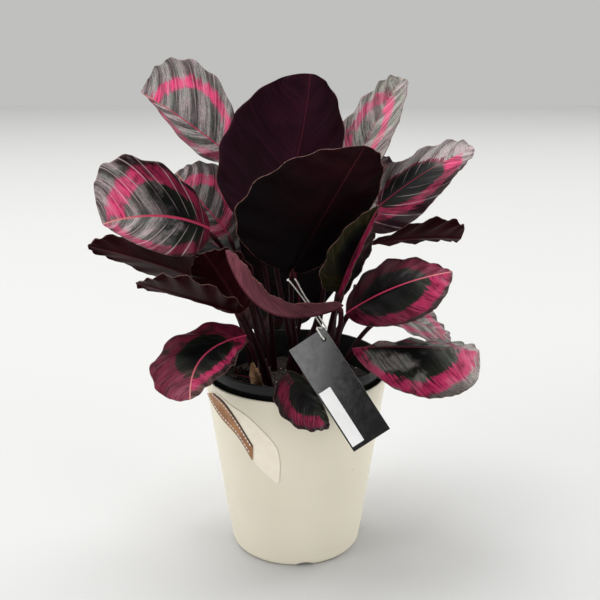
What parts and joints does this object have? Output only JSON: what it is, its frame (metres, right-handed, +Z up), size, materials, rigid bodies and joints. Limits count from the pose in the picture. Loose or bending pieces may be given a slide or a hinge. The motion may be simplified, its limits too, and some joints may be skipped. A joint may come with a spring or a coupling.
{
  "type": "potted calathea",
  "caption": "Potted calathea with broad patterned leaves on slender upright stalks, in a nursery pot that stands in a tall tapered outer pot with a bare swing tag and a wrapped label.",
  "frame": {"origin": "centre of the cream outer pot's underside, on the surface it stands on", "axes": "+Z up, -Y towards the viewer of the picture, +X to that viewer's right"},
  "size_m": [0.3673, 0.2684, 0.4771],
  "materials": {
    "cream_pot": "satin",
    "nursery_pot": "satin",
    "potting_soil": "loose, rough and matte",
    "leaf": "waxy, with a satin sheen",
    "dried_sheath": "dry and matte",
    "black_card": "gloss laminated",
    "white_paper": "smooth",
    "white_string": "twisted cotton",
    "tan_leather": "grained"
  },
  "bodies": {
    "root": {"outer_pot": "cream_pot", "inner_pot": "nursery_pot", "soil": "potting_soil", "leaf_01": "leaf", "leaf_02": "leaf", "leaf_03": "leaf", "leaf_04": "leaf", "leaf_05": "leaf", "leaf_06": "leaf", "leaf_07": "leaf", "leaf_08": "leaf", "leaf_09": "leaf", "leaf_10": "leaf", "leaf_11": "leaf", "leaf_12": "leaf", "leaf_13": "leaf", "leaf_14": "leaf", "leaf_15": "leaf", "leaf_16": "leaf", "leaf_17": "leaf", "leaf_18": "leaf", "leaf_19": "leaf", "leaf_20": "leaf", "leaf_21": "leaf", "leaf_22": "leaf", "leaf_23": "leaf", "leaf_24": "leaf", "leaf_25": "leaf", "dried_sheath": "dried_sheath", "tag_card": "black_card", "tag_sticker": "white_paper", "tag_string": "white_string", "pot_label": "white_paper", "pot_label_strap": "tan_leather"}
  },
  "joints": []
}
